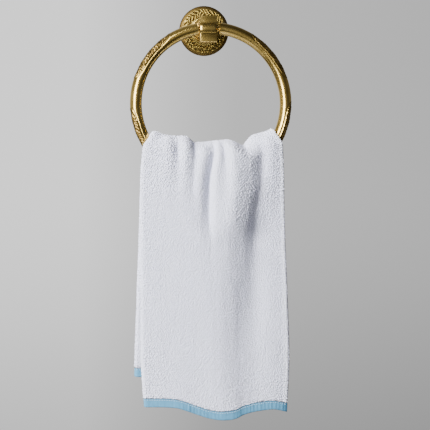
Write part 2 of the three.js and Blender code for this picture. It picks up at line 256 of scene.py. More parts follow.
FRONT_SHARES = [0.045, 0.142, 0.25, 0.37, 0.6, 0.8, 1]
FRONT_FOLDS = [
    dict(line="folded edge", across=0, crest=(-63, -116.5), end=-423.6,
         x=[-72.5, -75.3, -76, -76, -76, -76, -73.2], out=[13.6, 13.6, 13.2, 13.2, 13.2, 13.2, 13.2]),
    dict(line="flat left", across=14, crest=(-54, -120.2), end=-423.6,
         x=[-59, -60.5, -61.5, -61.5, -61.5, -61, -58.5], out=[15.4, 15.6, 15.2, 15.2, 15.2, 15, 14.8]),
    dict(line="left swell", across=25, crest=(-49, -121.2), end=-424,
         x=[-48, -49, -50, -50, -50, -49.5, -48], out=[17.6, 17.2, 16.8, 16.6, 16.6, 16.2, 16]),
    dict(line="short tuck", across=34, crest=(-39, -122.2), end=-424.8,
         x=[-38.6, -39.5, -40, -40.5, -40.5, -40, -39.5], out=[13.4, 17, 18, 18, 18, 17.6, 17.2]),
    dict(line="small swell", across=43, crest=(-30, -121.8), end=-427.6,
         x=[-29.5, -31, -31.5, -31.5, -31.5, -31, -30.5], out=[19.4, 19, 19, 19, 19, 18.6, 18.2]),
    dict(line="sharp crease", across=53, crest=(-20, -129), end=-432.2,
         x=[-19.4, -22, -23, -22, -20.5, -19.5, -17.5], out=[15, 17.6, 19.8, 20.2, 20, 19.6, 19]),
    dict(line="flat ridge", across=63, crest=(-10, -129.2), end=-436.2,
         x=[-10, -14.5, -15.5, -12.5, -9.5, -8.5, -5.5], out=[19.5, 20.2, 19.8, 21, 21.2, 21, 20]),
    dict(line="pleat, left side", across=74, crest=(2.5, -127.8), end=-438.2,
         x=[2, -3, -4, -2.5, 1.5, 2.5, 6], out=[13.4, 13.8, 15.6, 21, 21.8, 22.3, 21.6]),
    dict(line="pleat", across=82, crest=(6.5, -127.2), end=-438.5,
         x=[7, 3.2, 3, 5, 8, 9, 12], out=[21.5, 23.6, 23.6, 21.6, 21.6, 22.3, 22.4]),
    dict(line="pleat, right side", across=89, crest=(10.5, -127.2), end=-438.2,
         x=[13, 13, 12, 13.5, 15, 16, 19], out=[19.2, 24, 25.6, 21.4, 20.4, 21.5, 22.4]),
    dict(line="main ridge", across=99, crest=(19, -126.2), end=-437,
         x=[23, 23.5, 20.5, 20, 22, 23, 26], out=[26, 27.8, 27.2, 20.2, 18.6, 19.9, 21.6]),
    dict(line="long slope", across=113, crest=(36, -133), end=-433.6,
         x=[40.5, 39.5, 35, 32.5, 31, 30.5, 34.5], out=[22.4, 22.6, 21.6, 15.8, 14.8, 17.9, 19.2]),
    dict(line="long valley", across=129, crest=(47, -121.6), end=-430.2,
         x=[56, 56, 51, 50.5, 49.5, 48, 50], out=[14.2, 14.2, 12.6, 8, 10, 15.2, 17.6]),
    dict(line="right ridge", across=147, crest=(59, -118), end=-428.4,
         x=[66, 66.5, 67, 67.5, 67, 67, 68], out=[17.4, 15, 11.4, 8.4, 11.8, 16, 17.6]),
    dict(line="selvedges", across=CLOTH_WIDTH, crest=(70, -114.2), end=-432,
         x=[78.5, 80.3, 81.5, 83, 85.8, 87.3, 84.5], out=[15, 13, 10, 8.2, 11, 14.4, 15.4]),
]

BACK_SHARES = [0.055, 0.2, 0.45, 0.72, 1]
BACK_FOLDS = [
    dict(line="folded edge", across=0, end=-393.2,
         x=[-71, -74.5, -77, -80, -83], out=[13.6, 13.6, 13.6, 13.6, 13.6]),
    dict(line="left swell", across=38, end=-395.2,
         x=[-38, -39, -41, -43, -46], out=[17, 18, 18, 17, 16.5]),
    dict(line="middle valley", across=74, end=-399.2,
         x=[-7, -7, -8, -9, -11], out=[13.6, 13.8, 14, 14, 14]),
    dict(line="right swell", across=112, end=-401.2,
         x=[27, 27, 27, 26, 25], out=[21, 22, 22, 20, 19]),
    dict(line="right valley", across=140, end=-397.2,
         x=[51, 51, 50, 50, 49], out=[14, 14, 14, 14, 15]),
    dict(line="selvedges", across=CLOTH_WIDTH, end=-395.2,
         x=[72, 73, 73, 73, 73], out=[15, 15, 16, 16, 15]),
]
SIDES = dict(front=(FRONT_FOLDS, FRONT_SHARES), back=(BACK_FOLDS, BACK_SHARES))
print("fold lines:", len(FRONT_FOLDS), "in front,", len(BACK_FOLDS), "behind")


# %% [markdown]
# Between two fold lines, and between two shares of the drop, the cloth follows a cubic
# curve. A common spline would swing past its points and make folds of its own. This one
# is level at each high and low and keeps between its neighbours everywhere else.


# %% A smooth curve that does not overshoot
def through(knots, values, at):
    """Cubic through values[i] at knots[i], evaluated at each of at. values may be 2-D."""
    knots, values, at = np.asarray(knots, float), np.asarray(values, float), np.asarray(at, float)
    flat = values.reshape(len(knots), -1)
    step = np.diff(knots)[:, None]
    slope = np.diff(flat, axis=0) / step
    tangent = np.vstack([slope[:1], np.zeros((len(knots) - 2, flat.shape[1])), slope[-1:]])
    before, after = slope[:-1], slope[1:]
    same = before * after > 0
    total = np.where(same, before + after, 1.0)
    tangent[1:-1] = np.where(same, 2 * before * after / total, 0.0)
    i = np.clip(np.searchsorted(knots, at) - 1, 0, len(knots) - 2)
    h = step[i]
    t = np.clip((at - knots[i]) / h[:, 0], 0, 1)[:, None]
    result = (flat[i] * (1 + 2 * t) * (1 - t) ** 2 + tangent[i] * h * t * (1 - t) ** 2
              + flat[i + 1] * t * t * (3 - 2 * t) - tangent[i + 1] * h * t * t * (1 - t))
    return result.reshape((len(at),) + values.shape[1:])


# %% [markdown]
# The middle surface of the cloth is worked out row by row. A row near the crest is part
# of a quarter turn over the ring; below it the cloth hangs. The inner layer of the folded
# towel follows the outer one, but it bridges the narrow tucks, so each of its points
# takes the lowest of its neighbours. Both layers are kept clear of the ring's tube.


# %% Points of one layer of the towel
QUARTER = 90.0
MIDDLE_CLEAR = TUBE_RADIUS + THICKNESS / 2 + 0.6


def drop_values(folds, shares, across, share):
    """x, out and end height of the outer layer at places across, at one share of a drop."""
    lines = [fold["across"] for fold in folds]
    values = {}
    for key in ("x", "out"):
        by_line = through(shares, np.array([fold[key] for fold in folds]).T, [share])[0]
        values[key] = through(lines, by_line, across)
    values["end"] = through(lines, [fold["end"] for fold in folds], across)
    return values


def crest_line(across):
    """(x, height) of the cloth where it passes over the ring."""
    return through([fold["across"] for fold in FRONT_FOLDS],
                   [fold["crest"] for fold in FRONT_FOLDS], across)


def lowest_near(across, value_at, reach=9.0, samples=7):
    """The lowest of a value within reach of each place across the cloth."""
    shifts = np.linspace(-reach, reach, samples)
    return np.min([value_at(np.clip(across + s, 0, CLOTH_WIDTH)) for s in shifts], axis=0)


def clear_of_ring(points):
    """Pushes points of the cloth's middle surface out of the ring's bar."""
    from_centre = points - RING_CENTRE
    nearest = unit(from_centre * [1, 0, 1]) * RING_RADIUS
    away = from_centre - nearest
    distance = np.linalg.norm(away, axis=-1, keepdims=True)
    return RING_CENTRE + nearest + away / distance * np.maximum(distance, MIDDLE_CLEAR)


def layer_row(across, row, inner):
    """One row of points of the outer or the inner layer. row is (side, share, turn in degrees)."""
    side, share, turn = row
    folds, shares = SIDES[side]
    share = max(share, shares[0])
    crest = crest_line(across)
    here = drop_values(folds, shares, across, share)
    crest_z, out, inset = crest[:, 1], here["out"], 0.0
    if inner:
        crest_z = lowest_near(across, lambda a: crest_line(a)[:, 1])
        out = lowest_near(across, lambda a: drop_values(folds, shares, a, share)["out"])
        inset = LAYER_PITCH
    out = out - inset
    wall_z = crest_z + (here["end"] - crest_z) * share
    angle = math.radians(turn)
    x = crest[:, 0] + (here["x"] - crest[:, 0]) * (1 - math.cos(angle))
    z = wall_z + (crest_z - inset - wall_z) * math.cos(angle)
    y = out * math.sin(angle) * (-1 if side == "front" else 1)
    points = np.stack([x + RING_CENTRE[0], y + RING_CENTRE[1], z], axis=-1)
    return clear_of_ring(points)


# %% [markdown]
# The rows run from the back hem over the ring to the front hem, and the columns from the
# outer selvedge round the folded edge to the inner selvedge, so one rectangular grid of
# points holds the whole folded towel. That is how the cloth itself is: one rectangle.


# %% The middle surface of the cloth as one grid
BINDING_HEIGHT = 10.0
BINDING_WALL = 0.7
BINDING_SLACK = 0.45
GAP = 0.3
TONGUE = 1.0
CLEAR_OF_BINDING = BINDING_WALL + GAP
COLUMN_STEP = 2.0
ROW_STEP = 2.6
BEND_STEPS = 7
TURN_ROWS = 8


def drop_length(folds):
    """How far the middle of the cloth hangs below its crest."""
    middle = np.array([CLOTH_WIDTH / 2])
    ends = through([fold["across"] for fold in folds], [fold["end"] for fold in folds], middle)
    return float(crest_line(middle)[0, 1] - ends[0])


def rows_down(side):
    """Rows from just below the crest to the hem, with the thickness of the cloth at each."""
    folds, shares = SIDES[side]
    length, first = drop_length(folds), shares[0]
    tongue = (BINDING_HEIGHT - CLEAR_OF_BINDING + 2 * GAP) / length
    turns = [((side, 0.0, t), THICKNESS) for t in np.linspace(0, QUARTER, TURN_ROWS + 2)[1:-1]]
    count = round((1 - first) * length / ROW_STEP)
    wall = [((side, s, QUARTER), THICKNESS)
            for s in np.linspace(first, 1 - tongue - GAP / length, count)]
    ends = [((side, s, QUARTER), TONGUE) for s in (1 - tongue, 1 - tongue / 2, 1.0)]
    return turns + wall + ends


ROWS = rows_down("back")[::-1] + [(("front", 0.0, 0.0), THICKNESS)] + rows_down("front")
OUTER_ACROSS = np.linspace(CLOTH_WIDTH, 0, round(CLOTH_WIDTH / COLUMN_STEP) + 1)
INNER_ACROSS = OUTER_ACROSS[::-1] * (CLOTH_WIDTH - INNER_SETBACK) / CLOTH_WIDTH


def middle_row(row):
    """One row of points over the outer layer, round the folded edge and over the inner layer."""
    outer = layer_row(OUTER_ACROSS, row, inner=False)
    inner = layer_row(INNER_ACROSS, row, inner=True)
    centre = (outer[-1] + inner[0]) / 2
    arm = outer[-1] - centre
    left = np.array([-np.linalg.norm(arm), 0, 0])
    angles = np.linspace(0, math.pi, BEND_STEPS + 2)[1:-1, None]
    bend = centre + arm * np.cos(angles) + left * np.sin(angles)
    return np.vstack([outer, clear_of_ring(bend), inner])


MIDDLE = np.array([middle_row(row) for row, _ in ROWS])
HALF_THICKNESS = np.array([thickness / 2 for _, thickness in ROWS])
ROW_COUNT, COLUMN_COUNT = MIDDLE.shape[:2]
print("cloth grid:", ROW_COUNT, "rows by", COLUMN_COUNT, "columns")


def grid_normals(grid):
    """Unit normals of a grid of points, outward on the towel's outer layer."""
    down = np.gradient(grid, axis=0)
    along = np.gradient(grid, axis=1)
    return unit(np.cross(along, down))


NORMALS = grid_normals(MIDDLE)


# %% [markdown]
# ## The towel's cloth
#
# The woven ground of a terry towel is a sheet a few millimetres thick. Its two faces are
# the middle surface moved out and in along its normals, and a rim joins them. Along both
# selvedges the cloth is turned over once in a narrow hem, which makes a low bead with a
# groove beside it where the seam pulls the cloth in.


# %% Mesh of the folded sheet
BEAD_WIDTH = 4.5
BEAD_RISE = 0.5
BEAD_GROOVE = 0.45


def selvedge_rise(from_edge):
    """Extra half thickness of the turned hem at a distance from its selvedge."""
    x = np.clip(from_edge / BEAD_WIDTH, 0, 1.4)
    bead = np.sqrt(np.clip(1 - (2 * np.clip(x, 0, 1) - 1) ** 2, 0, 1)) * BEAD_RISE
    return bead - BEAD_GROOVE * np.exp(-((x - 1.15) / 0.12) ** 2)


def closed_sheet(name, outside, inside):
    """A closed shell over two grids of points of the same size."""
    rows, columns = outside.shape[:2]
    around = 2 * columns
    faces = tube_faces(rows, around)
    last = (rows - 1) * around
    for j in range(columns - 1):
        k = around - 1 - j
        faces.append((j, k, k - 1, j + 1))
        faces.append((last + j, last + j + 1, last + k - 1, last + k))
    points = np.concatenate([outside, inside[:, ::-1]], axis=1).reshape(-1, 3)
    return mesh_piece(name, points, faces)


across_cloth = run_along(MIDDLE, axis=1)
EDGE_DISTANCE = np.minimum(across_cloth, across_cloth[-1] - across_cloth)
full_rows = HALF_THICKNESS[:, None] == THICKNESS / 2
half = HALF_THICKNESS[:, None] + np.where(full_rows, selvedge_rise(EDGE_DISTANCE), 0.0)
OUTSIDE = MIDDLE + NORMALS * half[..., None]
INSIDE = MIDDLE - NORMALS * half[..., None]
towel = closed_sheet("towel_cloth", OUTSIDE, INSIDE)
face_outwards(towel)
report(towel)


# %% [markdown]
# ## The pile
#
# Terry is woven with a slack warp that stands up in thousands of small loops, and the
# eye reads their grain at the edges of the towel and on its shaded slopes. Real loops are
# too fine to model one by one. A low dome of twelve faces stands for a tuft of them, and
# copies of it, each turned and leaned its own way, are joined into one mesh for the front
# of the towel and one for the back.


# %% Tufts of pile
TUFT_PITCH = 2.0
TUFT_LENGTH = 2.3
TUFT_BREADTH = 1.5
TUFT_RISE = 1.0
TUFT_SINK = 0.5
TUFT_SIDES = 4
TUFT_LEAN = 0.35
TUFT_DROOP = 0.15
TUFT_JITTER = 0.3 * TUFT_PITCH

CREST_ROW = next(n for n, (row, _) in enumerate(ROWS) if row[2] == 0.0)
FIRST_FULL = next(n for n, (_, thick) in enumerate(ROWS) if thick == THICKNESS)
LAST_FULL = max(n for n, (_, thick) in enumerate(ROWS) if thick == THICKNESS)
LAST_PILE_COLUMN = len(OUTER_ACROSS) + BEND_STEPS
rng = np.random.default_rng(7)


def tuft():
    """A low dome: a ring in the ground, a narrower ring above it, and a top point."""
    n = TUFT_SIDES
    angle = np.arange(n) * 2 * math.pi / n
    ring = np.stack([np.cos(angle) * TUFT_LENGTH / 2, np.sin(angle) * TUFT_BREADTH / 2,
                     np.zeros(n)], axis=-1)
    shoulder = ring * [0.78, 0.78, 1] + [0, 0, TUFT_RISE * 0.6]
    faces = []
    for k in range(n):
        m = (k + 1) % n
        faces += [(k, m, n + m), (k, n + m, n + k), (n + k, n + m, 2 * n)]
    return np.vstack([ring - [0, 0, TUFT_SINK], shoulder, [[0, 0, TUFT_RISE]]]), faces


def sample_grid(grid, i, j):
    """Bilinear values of a grid at fractional rows i and columns j."""
    i0 = np.clip(np.floor(i).astype(int), 0, grid.shape[0] - 2)
    j0 = np.clip(np.floor(j).astype(int), 0, grid.shape[1] - 2)
    fi, fj = (i - i0)[:, None], (j - j0)[:, None]
    return ((grid[i0, j0] * (1 - fi) + grid[i0 + 1, j0] * fi) * (1 - fj)
            + (grid[i0, j0 + 1] * (1 - fi) + grid[i0 + 1, j0 + 1] * fi) * fj)


def tuft_places(first_row, last_row):
    """Fractional rows and columns of a jittered, staggered lattice of tufts."""
    block = OUTSIDE[first_row:last_row + 1, :LAST_PILE_COLUMN + 1]
    down, along = run_along(block), run_along(block, axis=1)
    rows = np.arange(TUFT_PITCH / 2, down[-1], TUFT_PITCH * 0.9)
    columns = np.arange(TUFT_PITCH / 2, along[-1] - TUFT_PITCH / 4, TUFT_PITCH)
    r, c = np.meshgrid(rows, columns, indexing="ij")
    c = c + (np.arange(len(rows)) % 2)[:, None] * TUFT_PITCH / 2
    r = r + rng.uniform(-1, 1, r.shape) * TUFT_JITTER
    c = c + rng.uniform(-1, 1, c.shape) * TUFT_JITTER
    i = np.interp(r.ravel(), down, np.arange(len(down))) + first_row
    j = np.interp(c.ravel(), along, np.arange(len(along)))
    return np.clip(i, first_row, last_row), np.clip(j, 0, LAST_PILE_COLUMN)


def pile(name, first_row, last_row):
    """Joins a copy of the tuft for each place between two rows of the cloth."""
    i, j = tuft_places(first_row, last_row)
    lean = rng.normal(0, TUFT_LEAN, (len(i), 3)) - [0, 0, TUFT_DROOP]
    up = unit(sample_grid(NORMALS, i, j) + lean)
    turn = rng.uniform(0, 2 * math.pi, len(i))
    side = unit(np.cross(up, np.stack([np.cos(turn), np.zeros_like(turn), np.sin(turn)], axis=-1)))
    size = rng.uniform(0.8, 1.2, (len(i), 1, 1))
    axes = np.stack([side, np.cross(up, side), up], axis=1)
    return joined_copies(name, *tuft(), sample_grid(OUTSIDE, i, j), axes, size)


pile_front = pile("pile_front", CREST_ROW, LAST_FULL)
pile_back = pile("pile_back", FIRST_FULL, CREST_ROW)
for piece in (pile_front, pile_back):
    report(piece)


# %% [markdown]
# ## The bindings
#
# Each short end of the towel is bound with a narrow blue tape, folded over the raw edge
# and sewn through. The tape's section is a tall narrow U, which is carried along the hem.
# Where the tape lies and which way it faces is read off the cloth at small, even steps.


# %% Places and section of the folded tape
TAPE_STEP = 0.55
TOP_ROUND = 0.25
FOLDED_SHARE = 0.25


def hem_stations(end_row, above_row):
    """What is known of a hem at every TAPE_STEP along it, by name."""
    end = MIDDLE[end_row]
    along = run_along(end)
    at = np.linspace(0, along[-1], round(along[-1] / TAPE_STEP) + 1)
    across = np.concatenate([OUTER_ACROSS, np.zeros(BEND_STEPS), INNER_ACROSS])[:, None]
    known = dict(place=end, up=MIDDLE[above_row] - end, normal=NORMALS[end_row],
                 normal_above=NORMALS[above_row], across=across)
    hem = {key: resample(at, along, values) for key, values in known.items()}
    height = np.linalg.norm(hem["up"], axis=-1, keepdims=True)
    return dict(hem, at=at, up=hem["up"] / height, height=height)


def hem_face(hem, rise):
    """The way the cloth faces at a height above the hem."""
    blend = np.clip(rise / hem["height"], 0, None)
    return unit(hem["normal"] * (1 - blend) + hem["normal_above"] * blend)


def tape_section():
    """(rise, out, ripple share) round the U, from the outer top edge and back inside it."""
    inside = TONGUE / 2 + BINDING_SLACK
    outside = inside + BINDING_WALL
    low, high = -CLEAR_OF_BINDING, BINDING_HEIGHT - CLEAR_OF_BINDING
    fold = [(low + outside * 0.55 * (1 - math.cos(a)), outside * math.sin(a), FOLDED_SHARE)
            for a in np.linspace(math.pi / 2, -math.pi / 2, 9)]
    outer = [(high, outside - TOP_ROUND, 0.9)]
    for rise in np.linspace(high - TOP_ROUND, fold[0][0], 8)[:-1]:
        loose = math.sin(math.pi * (rise - low) / (high - low)) ** 0.5
        outer.append((rise, outside, FOLDED_SHARE + (1 - FOLDED_SHARE) * loose))
    inner = [(rise, -out, share) for rise, out, share in outer[::-1]]
    hollow = [(high - 0.1, -inside, 0.0), (-GAP, -inside, 0.0), (-GAP, inside, 0.0),
              (high - 0.1, inside, 0.0)]
    return outer + fold + inner + hollow


# %% [markdown]
# The tape is taken up a little shorter than the terry, so it gathers in small ripples
# with tucks between them, more at some places across the towel than at others. Painted
# shade is stored on the mesh as a mask for a darker blue: along the tape's folded top edge
# and bottom fold, in the tucks between the ripples, and at the tape's end by the
# selvedges. So are the distances along the tape and up it, which its rib will follow.


# %% Gathered tape on both hems
RIPPLE_PITCH = 2.1
RIPPLE_RISE = 0.42
SWAY = 0.3
END_SHADE_LENGTH = 4.5
GATHERS = [
    dict(across=0, strength=0.15), dict(across=26, strength=0.25), dict(across=40, strength=1.0),
    dict(across=62, strength=0.7), dict(across=80, strength=0.35), dict(across=110, strength=0.4),
    dict(across=132, strength=0.95), dict(across=CLOTH_WIDTH, strength=0.7),
]


def ripples(at, strength, seed):
    """How far the tape swells, how dark the painted shade in its tucks is and how its top sways, along a
    hem.
    """
    wander = np.random.default_rng(seed)
    knots = np.arange(0, at[-1] + RIPPLE_PITCH, RIPPLE_PITCH)
    knots = np.sort(knots + wander.uniform(-0.3, 0.3, len(knots)) * RIPPLE_PITCH)
    peaks = wander.uniform(0.4, 1.0, len(knots)) * (np.arange(len(knots)) % 2)
    tuck_darkness = wander.uniform(0.1, 1.0, len(knots)) ** 1.5
    sways = wander.uniform(-1, 1, len(knots))
    ripple, sway = through(knots, np.stack([peaks, sways], axis=-1), at).T * strength
    # The tuck value is painted shade between the ripples: it darkens the tape and moves no point.
    tuck = strength * np.interp(at, knots, tuck_darkness) * np.clip(1 - ripple / (0.45 * strength + 0.05), 0, 1)
    return ripple[:, None], tuck[:, None], sway[:, None]


def bound_hem(name, end_row, above_row, seed):
    """The tape over one end of the towel, and the hem's stations with its ripples."""
    hem = hem_stations(end_row, above_row)
    strength = through([g["across"] for g in GATHERS], [g["strength"] for g in GATHERS], hem["across"][:, 0])
    ripple, tuck, sway = ripples(hem["at"], strength, seed)
    loops = []
    for rise, out, share in tape_section():
        up = rise + sway * SWAY * max(rise, 0) / BINDING_HEIGHT
        swell = np.sign(out) * share * RIPPLE_RISE * ripple
        loops.append(hem["place"] + hem["up"] * up + hem_face(hem, rise) * (out + swell))
    points = np.stack(loops, axis=1)
    stations, around = points.shape[:2]
    caps = [tuple(range(first, first + around)) for first in (0, (stations - 1) * around)]
    piece = mesh_piece(name, points.reshape(-1, 3), tube_faces(stations, around) + caps)
    face_outwards(piece)
    rises = np.array([rise for rise, out, share in tape_section()])
    from_top, from_fold = rises.max() - rises, rises - rises.min()
    # The crease mask is painted shade: it darkens the folded top edge and bottom fold, the tucks and the
    # tape's end by the selvedges.
    edges = 0.8 * np.exp(-(from_top / 0.7) ** 2) + 0.4 * np.exp(-(from_fold / 0.6) ** 2)
    end_shade = np.exp(-((CLOTH_WIDTH - hem["across"]) / END_SHADE_LENGTH) ** 2)
    keep_value(piece, "crease", np.clip(edges + 0.75 * tuck + end_shade, 0, 1))
    keep_uv(piece, np.stack(np.broadcast_arrays(hem["at"][:, None], rises), axis=-1))
    print(f"{name}: laid along {hem['at'][-1]:.0f} mm of hem")
    return piece, dict(hem, ripple=ripple)


tape_front, hem_front = bound_hem("tape_front", ROW_COUNT - 1, ROW_COUNT - 2, seed=11)
tape_back, hem_back = bound_hem("tape_back", 0, 1, seed=12)
for piece in (tape_front, tape_back):
    report(piece)


# %% [markdown]
# ## Stitches
#
# The tape is held by one row of lockstitch near its top edge, and the turned selvedges
# by another. A third row of coarser stitches crosses the selvedge's edge, as an overlock
# seam does. A stitch is a short rounded bar that sinks into the cloth at both ends. One
# bar is made, and each row joins its copies into a single mesh.


# %% Rows of stitches
STITCH_PITCH = 2.7
STITCH_LENGTH = 2.1
THREAD_RADIUS = 0.28
OVERLOCK_SCALE = 1.6
SEAM_BELOW_TOP = 1.5
SEAM_FROM_EDGE = BEAD_WIDTH * 1.1


def stitch_bar(rings=6, sides=6):
    """Points and faces of a bar along X that dives at both ends."""
    t = np.linspace(-1, 1, rings)
    lift = 0.35 * (1 - t ** 2) - 0.12
    width = THREAD_RADIUS * np.sqrt(np.clip(1.08 - t ** 4, 0.05, 1))
    angle = np.arange(sides) * 2 * math.pi / sides
    points = [[x, w * math.cos(a), h + w * math.sin(a)]
              for x, h, w in zip(t * STITCH_LENGTH / 2, lift, width) for a in angle]
    last = (rings - 1) * sides
    caps = [list(range(sides)), list(range(last + sides - 1, last - 1, -1))]
    return np.array(points), tube_faces(rings, sides, flip=True) + caps


def sew(name, places, along, normals, scale=1.0):
    """Joins one stitch bar at each place, lying along the seam and facing its normal."""
    along = unit(along)
    normals = unit(normals - along * (normals * along).sum(axis=-1, keepdims=True))
    base, faces = stitch_bar()
    axes = np.stack([along, np.cross(normals, along), normals], axis=1)
    piece = joined_copies(name, base * scale, faces, places, axes)
    face_outwards(piece)
    return piece


def hem_stitches(name, hem):
    """Stitches along both sides of a binding, a little below its top edge."""
    at = np.arange(STITCH_PITCH, hem["at"][-1] - STITCH_PITCH / 2, STITCH_PITCH)
    rise = BINDING_HEIGHT - CLEAR_OF_BINDING - SEAM_BELOW_TOP
    known = ("place", "up", "normal", "normal_above", "height", "ripple")
    here = {key: resample(at, hem["at"], hem[key]) for key in known}
    face = hem_face(here, rise)
    out = TONGUE / 2 + BINDING_SLACK + BINDING_WALL + here["ripple"] * RIPPLE_RISE * 0.8
    centre = here["place"] + here["up"] * rise
    places = np.vstack([centre + face * out, centre - face * out])
    along = np.gradient(centre, axis=0)
    return sew(name, places, np.vstack([along, along]), np.vstack([face, -face]))


def selvedge_stitches(name, from_edge, lift, crossing=False):
    """Stitches down the outer selvedge, or across it, at a distance from its edge."""
    column = float(np.interp(from_edge, EDGE_DISTANCE[:20], np.arange(20)))

    def down_column(grid, rows):
        return sample_grid(grid, rows, np.full(len(rows), column))

    rows = np.arange(FIRST_FULL, LAST_FULL, 0.05)
    run = run_along(down_column(OUTSIDE, rows))
    picks = np.interp(np.arange(STITCH_PITCH, run[-1], STITCH_PITCH), run, rows)
    places, normals = down_column(OUTSIDE, picks), down_column(NORMALS, picks)
    along = np.gradient(places, axis=0)
    places = places + normals * lift
    if crossing:
        return sew(name, places, np.cross(normals, along), normals, scale=OVERLOCK_SCALE)
    return sew(name, places, along, normals)


stitches = [
    hem_stitches("stitches_hem_front", hem_front),
    hem_stitches("stitches_hem_back", hem_back),
    selvedge_stitches("stitches_selvedge", SEAM_FROM_EDGE, lift=0.1),
    selvedge_stitches("stitches_overlock", SEAM_FROM_EDGE / 2, lift=0.15, crossing=True),
]
for piece in stitches:
    report(piece)


# %% [markdown]
# ## The ring
#
# The ring is a round brass bar, cast with sprays of pointed leaves on its front and
# outer side and left plain between them. The bar is a circle spun along an arc with
# Blender's spin operator, in steps fine enough to hold the leaves, and each spray is
# then raised out of it by moving its vertices along the bar's own radius.


# %% Bar of the ring
RING_LEFT_END = -11.7
RING_RIGHT_END = 13.2
RING_STEPS = 44
STEP_CUTS = 24
LONGEST_EDGE = 5.0
TUBE_SIDES = 72


def settle(name):
    """Names a new primitive and applies its place, so that its object sits at the origin."""
    piece = bpy.context.object
    piece.name = name
    bpy.ops.object.transform_apply(location=True, rotation=True, scale=True)
    return piece


def spin_closed(steps, angle, centre, axis):
    """Spins what is selected in edit mode, merges its seams and faces it outwards."""
    bpy.ops.mesh.spin(steps=steps, angle=angle, center=centre, axis=axis)
    bpy.ops.mesh.select_all(action="SELECT")
    bpy.ops.mesh.remove_doubles(threshold=0.01 * MM)
    bpy.ops.mesh.normals_make_consistent(inside=False)


def cut_long_edges(piece, longer_than, cuts):
    """Divides every edge longer than a length in millimetres, and leaves the rest."""
    bpy.ops.mesh.select_mode(type="EDGE")
    bpy.ops.mesh.select_all(action="DESELECT")
    bpy.ops.object.mode_set(mode="OBJECT")
    for edge in piece.data.edges:
        first, last = (piece.data.vertices[k].co for k in edge.vertices)
        edge.select = (first - last).length > longer_than * MM
    bpy.ops.object.mode_set(mode="EDIT")
    bpy.ops.mesh.subdivide(number_cuts=cuts)
    bpy.ops.mesh.select_mode(type="VERT")
    bpy.ops.object.mode_set(mode="OBJECT")


def spun_bar():
    """The open ring as a mesh: a disc swept about the ring's centre."""
    left = math.asin((RING_CENTRE[0] - RING_LEFT_END) / RING_RADIUS)
    right = math.asin((RING_RIGHT_END - RING_CENTRE[0]) / RING_RADIUS)
    start_clean()
    bpy.ops.mesh.primitive_circle_add(
        vertices=TUBE_SIDES, radius=TUBE_RADIUS * MM, fill_type="NGON",
        location=Vector(RING_CENTRE + [0, 0, RING_RADIUS]) * MM, rotation=(0, math.pi / 2, 0))
    bar = settle("ring_bar")
    bpy.ops.object.mode_set(mode="EDIT")
    bpy.ops.mesh.select_all(action="SELECT")
    centre = tuple(Vector(RING_CENTRE) * MM)
    # The disc is made at the top of the ring and turned to the ring's right end first.
    bpy.ops.transform.rotate(value=-right, orient_axis="Y", center_override=centre)
    spin_closed(RING_STEPS, 2 * math.pi - left - right, centre, (0, -1, 0))
    cut_long_edges(bar, LONGEST_EDGE, STEP_CUTS)
    return bar


ring_bar = spun_bar()
report(ring_bar)


# %% [markdown]
# Acanthus is carved along a wavy stem. Rounded lobes lean forward off both sides of the
# stem, close together with a sharp cut between each and the next, and they shorten and
# lengthen as the stem swings from side to side. So the height of the carving at a point
# needs only its place along the stem and its distance from it.


# %% Carved acanthus as a height over a band
RING_ACANTHUS = dict(middle=2.4, swing=1.5, wave=15.5, lobe_pitch=3.2, lean=0.8, reach=4.8)
ROSE_ACANTHUS = dict(middle=0.2, swing=1.3, wave=None, lobe_pitch=3.9, lean=0.9, reach=4.6)


def acanthus(along, across, pattern):
    """Height from 0 to 1 at distances along and across a band."""
    swing = np.sin(2 * math.pi * along / pattern["wave"])
    beside = across - pattern["middle"] - pattern["swing"] * swing
    side = np.where(beside > 0, 1.0, -1.0)
    away = np.abs(beside)
    shift = np.where(side > 0, 0.0, 0.5) * pattern["lobe_pitch"]
    cut = np.abs(np.sin(math.pi * (along + shift - pattern["lean"] * away) / pattern["lobe_pitch"]))
    reach = pattern["reach"] * (1 - 0.3 * swing * side)
    lobe = np.sqrt(np.clip(1 - (away / reach) ** 2, 0, 1)) * (1 - 0.25 * away / reach)
    crest = np.sqrt(np.clip((cut - 0.35) / 0.65, 0, 1))
    stem = 0.8 * np.exp(-(beside / 0.55) ** 2)
    return np.maximum(stem, lobe * crest)


def vertex_array(piece):
    points = np.empty(len(piece.data.vertices) * 3)
    piece.data.vertices.foreach_get("co", points)
    return points.reshape(-1, 3) / MM


def move_vertices(piece, points):
    piece.data.vertices.foreach_set("co", (points * MM).ravel())
    piece.data.update()


# %% [markdown]
# Each spray lies in a long pointed panel of its own, sunk a little into the bar inside a
# raised border, with a fine groove round it. The leaves rise out of the panel to about
# the height of the border. How deep each point lies is stored too, for the brass to
# darken where polish never reaches.


# %% Sprays on the ring
SPRAYS = [
    dict(place="upper left", start=121, end=162), dict(place="lower left", start=183, end=222),
    dict(place="upper right", start=19, end=60), dict(place="lower right", start=-42, end=2),
]
SPRAY_FACING = 17
SPRAY_HALF_WIDTH = 8.2
BORDER_WIDTH = 1.1
BORDER_RISE = 0.3
BORDER_GROOVE = 0.45
CARVED_RISE = 0.35
CARVED_SINK = 0.75


def smooth_step(low, high, value):
    t = np.clip((value - low) / (high - low), 0, 1)
    return t * t * (3 - 2 * t)


